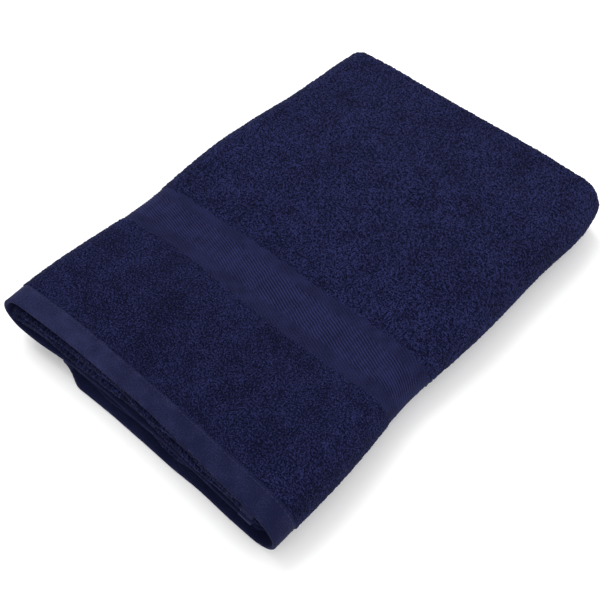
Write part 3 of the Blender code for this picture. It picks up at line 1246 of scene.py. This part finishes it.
@dataclass(frozen=True)
class TowelEnd:
    """One end of the towel: its turned hem, the terry next to it and the woven band."""

    leaf: Leaf
    hem_half: float = 1.20 * MM
    dobby_half: float = 1.10 * MM
    proud: float = 0.45 * MM
    fine: float = 0.66 * MM
    weave_step: float = 0.50 * MM
    plain: float = 1.40 * MM
    hidden: float = 3.0 * MM
    hem_step: float = 0.60 * MM
    turn_step: float = 0.22 * MM
    turn: float = 1.3 * MM
    overlap: float = 4.5 * MM
    seam_reach: float = 1.3 * MM

    @property
    def seen(self) -> bool:
        """Whether this end shows on the folded towel."""
        return self.leaf is Leaf.FIRST

    def _nodes(self, run: Run, zone: str) -> List[str]:
        """Returns the frame's nodes of one zone of this end, in one run of cloth.

        Args:
            run: which run of cloth.
            zone: the zone's name in the frame.

        Returns:
            The nodes' names.
        """
        number = self.leaf.value
        if run is Run.WRAPPED:
            names = [f"bottom_leaf{number}_{zone}", f"top_leaf{number}_{zone}"]
            if self.seen:
                names += [f"right_wrap_{part}_leaf1_{zone}" for part in ("upper", "lower")]
            return names
        names = [f"tucked_leaf{number}_{zone}"]
        if self.seen:
            names.append(f"left_wrap_leaf1_{zone}")
        return names

    @staticmethod
    def _zones(plan: FoldPlan) -> Tuple[float, float, float]:
        """Returns where the hem, the terry and the band end, from the towel's end."""
        seam = (plan.hem_end + plan.seam_end) / 2 - plan.near
        gap = plan.gap / 2
        return seam, plan.dobby_start - plan.near - gap, plan.dobby_end - plan.near + gap

    def _along(self, plan: FoldPlan, start: float, stop: float, step: float) -> Array:
        """Returns lines along the cloth between two distances from this end.

        Args:
            plan: where the folded cloth lies.
            start: the distance to start at.
            stop: the distance to stop at.
            step: the gap between the lines.

        Returns:
            Places along the cloth.
        """
        if self.seen:
            return lines(start, stop, step)
        end = plan.marks[6]
        return lines(end - stop, end - start, step)

    def _across(self, maker: Maker, run: Run, step: float) -> Array:
        """Returns lines across one run of cloth, as fine as step where this end shows."""
        if self.seen:
            return maker.across_lines(run, step, self.plain)
        return maker.across_lines(run, self.hidden, self.hidden)

    def _hem(self, maker: Maker, run: Run) -> Panel:
        """Plans the turned hem, with painted shade that makes it dark under the towel and round the right
        fold, and lighter towards the left fold.

        Args:
            maker: what the towel is made with.
            run: which run of cloth.

        Returns:
            The hem, not yet built.
        """
        plan = maker.plan
        _, two, three, four, _ = plan.stops
        # Painted shade: full on the cloth under the towel, fading out round the left fold; the wrapped
        # run's is full round the right fold and fades over the top.
        weave = HemWeave(dim_start=four, dim_end=three)
        if run is Run.WRAPPED:
            weave = HemWeave(dim_start=two - 20 * MM, dim_end=two + 165 * MM)
        rows = joined(
            self._along(plan, 0.0, self._zones(plan)[0], self.hem_step),
            self._along(plan, 0.0, self.turn, self.turn_step),
        )
        columns = self._across(maker, run, self.fine)
        return Panel(self._name(run, "hem"), columns, rows, self.hem_half, weave, skip=2, round_t=True)

    def _terry(self, maker: Maker, run: Run) -> Panel:
        """Plans the terry between the hem and the band.

        Args:
            maker: what the towel is made with.
            run: which run of cloth.

        Returns:
            The terry, not yet built.
        """
        plan = maker.plan
        seam, dobby, _ = self._zones(plan)
        step = self.fine if self.seen else self.hidden
        rows = self._along(plan, seam - self.seam_reach, dobby + self.overlap, step)
        columns = self._across(maker, run, self.fine)
        name = self._name(run, "terry")
        if not self.seen:
            return Panel(name, columns, rows, plan.leaf / 2, TerryPile(), skip=1)
        # The terry next to the seen hem gets painted shade, darker than the main terry.
        pile = TerryPile(depth=0.80 * MM, contrast=0.62, shade=0.16)
        return Panel(
            name,
            columns,
            rows,
            plan.leaf / 2,
            pile,
            proud=self.proud,
            soft_low=self.seam_reach,
            soft_high=self.overlap,
        )

    def _band(self, maker: Maker, run: Run) -> Panel:
        """Plans the woven band.

        Args:
            maker: what the towel is made with.
            run: which run of cloth.

        Returns:
            The band, not yet built.
        """
        plan = maker.plan
        _, dobby, main = self._zones(plan)
        rows = self._along(plan, dobby, main, self.weave_step if self.seen else self.hidden)
        weave = DobbyBand(float(rows[0]), float(rows[-1]))
        columns = self._across(maker, run, self.weave_step)
        skip = 4 if self.seen else 1
        return Panel(self._name(run, "dobby"), columns, rows, self.dobby_half, weave, skip=skip)

    def _name(self, run: Run, part: str) -> str:
        """Returns the name of one part of this end."""
        return f"{self.leaf.name.lower()}_end_{run.value}_{part}"

    def build(self, maker: Maker) -> None:
        """Builds this end's hem, terry and band in both runs of cloth.

        Args:
            maker: what the towel is made with.
        """
        parts = (
            (self._hem, Slot.HEM, "end_hem"),
            (self._terry, Slot.TERRY, "end_terry"),
            (self._band, Slot.DOBBY, "dobby_border"),
        )
        for run in Run:
            for planned, slot, zone in parts:
                piece = maker.panel(planned(maker, run), slot, self._nodes(run, zone))
                maker.attach(piece, run)


@dataclass(frozen=True)
class MainTerry:
    """The towel's long terry between its two bands, folded over twice."""

    fine: float = 0.66 * MM
    wrap_step: float = 0.85 * MM
    plain: float = 1.40 * MM
    hidden_across: float = 2.50 * MM
    hidden_along: float = 5.0 * MM
    leaf_step: float = 1.50 * MM
    roll_step: float = 0.72 * MM
    inner_proud: float = 0.10 * MM
    roll_reach: float = 14.0 * MM
    turn_step: float = 0.9 * MM
    turn_reach: float = 1.0 * MM
    proud: float = 0.45 * MM
    overlap: float = 4.5 * MM

    def _outer(self, plan: FoldPlan, name: str, low: float, high: float, step: float) -> Panel:
        """Plans a piece of the outermost leaf, with its far fold.

        Args:
            plan: where the folded cloth lies.
            name: the piece's name.
            low: where the piece starts across the cloth.
            high: where it ends.
            step: the gap between its lines.

        Returns:
            The piece.
        """
        start = plan.dobby_end - plan.near + plan.gap / 2 - self.overlap
        pile = TerryPile(
            row_gap=1.55 * MM,
            loop_gap=1.70 * MM,
            long_half=1.40 * MM,
            short_half=0.78 * MM,
            depth=1.05 * MM,
        )
        return Panel(
            name,
            lines(low, high, step),
            lines(start, plan.marks[1], step),
            plan.leaf / 2,
            pile,
            skip=6,
            proud=self.proud,
            soft_low=self.overlap,
        )

    def build(self, maker: Maker) -> None:
        """Builds the outer leaf in five pieces, then the inner leaves.

        Args:
            maker: what the towel is made with.
        """
        plan, hinge = maker.plan, maker.hinge
        one, two, three, four, five = plan.stops
        start, end = plan.side_hem, five - plan.side_hem
        wraps = ["right_wrap_upper_leaf1_main_terry", "right_wrap_lower_leaf1_main_terry"]
        left_wrap = ["left_wrap_leaf1_main_terry"]
        parts: Sequence[Tuple[str, float, float, float, List[str], Follow]] = (
            ("bottom_main_terry_outer", start, one, self.plain, ["bottom_main_terry"], hinge.still_piece),
            ("right_fold_main_terry", one, two, self.wrap_step, wraps, hinge.bending_piece),
            ("top_main_terry_outer", two, three, self.fine, ["top_main_terry"], hinge.moving_piece),
            ("left_fold_main_terry", three, four, self.wrap_step, left_wrap, hinge.moving_piece),
            ("tucked_main_terry_outer", four, end, self.plain, ["tucked_main_terry"], hinge.moving_piece),
        )
        for name, low, high, step, nodes, follow in parts:
            follow(maker.panel(self._outer(plan, name, low, high, step), Slot.TERRY, nodes))
        self._inner(maker)

    def _inner(self, maker: Maker) -> None:
        """Builds the fourth leaf, the near folds, and the third and second leaves.

        Args:
            maker: what the towel is made with.
        """
        plan = maker.plan
        m = plan.marks
        end = m[6] - (plan.dobby_end - plan.near) - plan.gap / 2
        reach = self.roll_reach
        coarse = self.hidden_along
        turn_start, turn_end = m[4] - self.turn_reach, m[5] + self.turn_reach
        turn = lines(turn_start, turn_end, self.turn_step)
        back = joined(lines(m[3] + reach, turn_start, coarse), turn, lines(turn_end, end, coarse))
        for run in Run:
            sides = ("right_wrap_upper", "right_wrap_lower") if run is Run.WRAPPED else ("left_wrap",)
            parts = (
                ("fourth_leaf", 4, self.leaf_step, lines(m[1], m[2] - reach, self.leaf_step)),
                ("near_fold", 3, self.roll_step, lines(m[2] - reach, m[3] + reach, self.roll_step)),
                ("inner_leaves", 2, self.hidden_across, back),
            )
            for name, leaf, step, rows in parts:
                columns = maker.across_lines(run, step, step)
                nodes = [f"{side}_leaf{leaf}" for side in sides]
                label = f"{name}_{run.value}"
                # The inner leaves and the near folds get painted shade, for where they lie in shadow.
                pile = TerryPile(shade=0.30)
                panel = Panel(label, columns, rows, plan.leaf / 2, pile, skip=3, proud=self.inner_proud)
                maker.attach(maker.panel(panel, Slot.TERRY, nodes), run)


@dataclass(frozen=True)
class SideHems:
    """The narrow turned hems down the towel's long edges."""

    half: float = 1.30 * MM
    step: float = 1.4 * MM
    along_step: float = 2.2 * MM
    turn: float = 1.3 * MM
    turn_step: float = 0.25 * MM

    def build(self, maker: Maker) -> None:
        """Builds both side hems, through all of the cross folds.

        Args:
            maker: what the towel is made with.
        """
        plan, hinge = maker.plan, maker.hinge
        rows = joined(lines(0.0, plan.marks[6], self.along_step), np.asarray(plan.marks[:6]))
        low = joined(lines(0.0, self.turn, self.turn_step), lines(self.turn, plan.side_hem, self.step))
        high = plan.stops[4] - low[::-1]
        sides: Sequence[Tuple[str, Array, int, Follow]] = (
            ("bottom", low, -1, hinge.still_piece),
            ("tucked", high, 1, hinge.moving_piece),
        )
        for side, columns, edge, follow in sides:
            name = f"{side}_side_hem_turned"
            hem = Panel(name, columns, rows, self.half, HemWeave(), skip=1, round_s=edge)
            follow(maker.panel(hem, Slot.HEM, [f"{side}_side_hem"]))


@dataclass(frozen=True)
class Stitching:
    """Rows of sewn stitches that hold the hems down."""

    length: float = 2.5 * MM
    gap: float = 0.8 * MM
    width: float = 0.55 * MM
    rise: float = 0.20 * MM
    seat: float = 1.22 * MM
    inset: float = 1.6 * MM
    start: float = 1 * MM
    side_start: float = 2 * MM
    side_spacing: float = 1.6

    def _row(
        self,
        maker: Maker,
        name: str,
        starts: Array,
        level: float,
        sideways: bool,
    ) -> bpy.types.Object:
        """Builds one row of stitches as small rounded bars.

        Args:
            maker: what the towel is made with.
            name: the piece's name.
            starts: where each stitch starts, across or along the cloth.
            level: the row's place the other way.
            sideways: whether the row runs across the towel.

        Returns:
            The row, not yet riding on a body.
        """
        a = np.linspace(0.0, math.pi, 6)
        b = np.linspace(0.0, 2 * math.pi, 7)[:-1]
        along, around = np.meshgrid(a, b, indexing="ij")
        run = (0.5 - 0.5 * np.cos(along)) * self.length
        girth = np.sin(along) ** 0.6
        aside = np.cos(around) * girth * self.width / 2
        height = np.sin(around) * girth * self.rise
        first = starts[:, None, None] + run[None]
        second = np.broadcast_to(level + aside, first.shape)
        lift = np.broadcast_to(self.seat + height, first.shape)
        s, t = (first, second) if sideways else (second, first)
        points = maker.lie.place(maker.plan, s, t, lift).reshape(-1, 3)
        steps, ring = along.shape
        index = np.arange(steps * ring).reshape(steps, ring)
        after = np.roll(index, -1, axis=1)
        sides = (index[:-1], after[:-1], after[1:], index[1:])
        quads = np.stack([side.ravel() for side in sides], 1)
        faces = (quads[None] + (np.arange(len(starts)) * steps * ring)[:, None, None]).reshape(-1, 4)
        mesh = bpy.data.meshes.new(name)
        mesh.from_pydata(points.tolist(), [], faces.tolist())
        mesh.validate()
        mesh.polygons.foreach_set("use_smooth", np.ones(len(mesh.polygons), bool))
        add_map(mesh, "cloth", np.stack([s.ravel(), t.ravel()], -1)[corners(mesh)])
        piece = linked(name, mesh)
        maker.wardrobe.dress(piece, Slot.THREAD)
        LOG.info("%s: %d stitches", name, len(starts))
        return piece

    def build(self, maker: Maker) -> None:
        """Builds the stitches of the end hems and of the side hems.

        Args:
            maker: what the towel is made with.
        """
        plan, hinge = maker.plan, maker.hinge
        three, five = plan.stops[2], plan.stops[4]
        pace = self.length + self.gap
        level = plan.hem_end - plan.near - self.inset
        runs = (
            (Run.WRAPPED, plan.side_hem, three, ("bottom", "top")),
            (Run.TUCKED, three, five - plan.side_hem, ("tucked",)),
        )
        for leaf, place in ((1, level), (2, plan.marks[6] - level)):
            for run, low, high, sides in runs:
                starts = np.arange(low + self.start, high - pace, pace)
                piece = self._row(maker, f"leaf{leaf}_hem_stitches_{run.value}", starts, place, True)
                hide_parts(*[f"{side}_leaf{leaf}_end_hem_seam" for side in sides])
                maker.attach(piece, run)
        inset = plan.side_hem - self.inset
        starts = np.arange(self.side_start, plan.marks[6] - pace, pace * self.side_spacing)
        edges: Sequence[Tuple[str, float, Follow]] = (
            ("bottom", inset, hinge.still_piece),
            ("tucked", five - inset, hinge.moving_piece),
        )
        for side, across, follow in edges:
            piece = self._row(maker, f"{side}_side_stitches", starts, across, False)
            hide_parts(f"{side}_side_seam")
            follow(piece)


@dataclass(frozen=True)
class Studio:
    """The pale floor, the soft lights and the camera."""

    azimuth: float = 35.2
    elevation: float = 55.6
    roll: float = 8.0
    distance: float = 1.67
    aside: float = 0.047
    nearer: float = 0.1327
    lens: float = 53.88
    sensor: float = 36.0
    floor_size: float = 40.0
    floor_pale: Tuple[Colour, Colour] = ((0.93, 0.93, 0.93, 1.0), (0.95, 0.95, 0.95, 1.0))
    key: Place = (-1.35, 0.45, 1.70)
    fill: Place = (1.75, -0.45, 0.80)

    def build(self) -> None:
        """Builds the floor, the lights and the camera."""
        self._floor()
        self._light("key", self.key, 1.5, 35.0)
        self._light("fill", self.fill, 1.4, 12.0)
        world = bpy.data.worlds.new("studio")
        world.use_nodes = True
        sky = world.node_tree.nodes["Background"].inputs
        sky["Color"].default_value = (1.0, 1.0, 1.0, 1.0)
        sky["Strength"].default_value = 1.0
        bpy.context.scene.world = world
        bpy.context.scene.view_settings.view_transform = "Standard"
        self._camera()

    def _floor(self) -> None:
        """Lays a plain pale floor under the towel."""
        half = self.floor_size / 2
        mesh = bpy.data.meshes.new("floor")
        plan = ((-half, -half), (half, -half), (half, half), (-half, half))
        mesh.from_pydata([(x, y, 0.0) for x, y in plan], [], [(0, 1, 2, 3)])
        floor = linked("floor", mesh)
        graph = Graph("floor_pale")
        colour = graph.blend(graph.noise(0.2, 2.0), *self.floor_pale)
        mesh.materials.append(graph.finish({"Base Color": colour, "Roughness": 0.9}))

    @staticmethod
    def _light(name: str, place: Place, size: float, power: float) -> None:
        """Hangs one large soft light that points at the towel.

        Args:
            name: the light's name.
            place: where it hangs.
            size: how wide it is.
            power: how strong it is, in watts.
        """
        lamp = bpy.data.lights.new(name, "AREA")
        lamp.shape = "SQUARE"
        lamp.size = size
        lamp.energy = power
        item = linked(name, lamp)
        item.location = place
        item.rotation_euler = (-Vector(place)).to_track_quat("-Z", "Y").to_euler()

    def _camera(self) -> None:
        """Sets the camera over the towel's near end, turned and rolled a little."""
        low, high = CAD_BOX
        length = high[1] - low[1]
        az, el, roll = (math.radians(v) for v in (self.azimuth, self.elevation, self.roll))
        back = Vector((math.sin(az) * math.cos(el), -math.cos(az) * math.cos(el), math.sin(el)))
        right = Vector((math.cos(az), math.sin(az), 0.0))
        up = back.cross(right)
        level = right * math.cos(roll) + up * math.sin(roll)
        upward = up * math.cos(roll) - right * math.sin(roll)
        aim = Vector((self.aside * length, -self.nearer * length, high[2]))
        camera = bpy.data.cameras.new("camera")
        camera.lens = self.lens
        camera.sensor_width = self.sensor
        item = linked("camera", camera)
        turn = Matrix((level, upward, back)).transposed()
        item.matrix_world = Matrix.Translation(aim + back * self.distance * length) @ turn.to_4x4()
        bpy.context.scene.camera = item


def main() -> None:
    """Builds the towel and its studio."""
    logging.basicConfig(level=logging.INFO, format="%(name)s %(message)s")
    plan = FoldPlan.from_frame()
    Studio().build()
    maker = Maker(plan, Lie(), Wardrobe(), Hinge.from_frame(plan))
    TowelEnd(Leaf.FIRST).build(maker)
    TowelEnd(Leaf.SECOND).build(maker)
    MainTerry().build(maker)
    SideHems().build(maker)
    Stitching().build(maker)
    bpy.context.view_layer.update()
    LOG.info("%d pieces of cloth", len(maker.made))


if __name__ == "__main__":
    main()
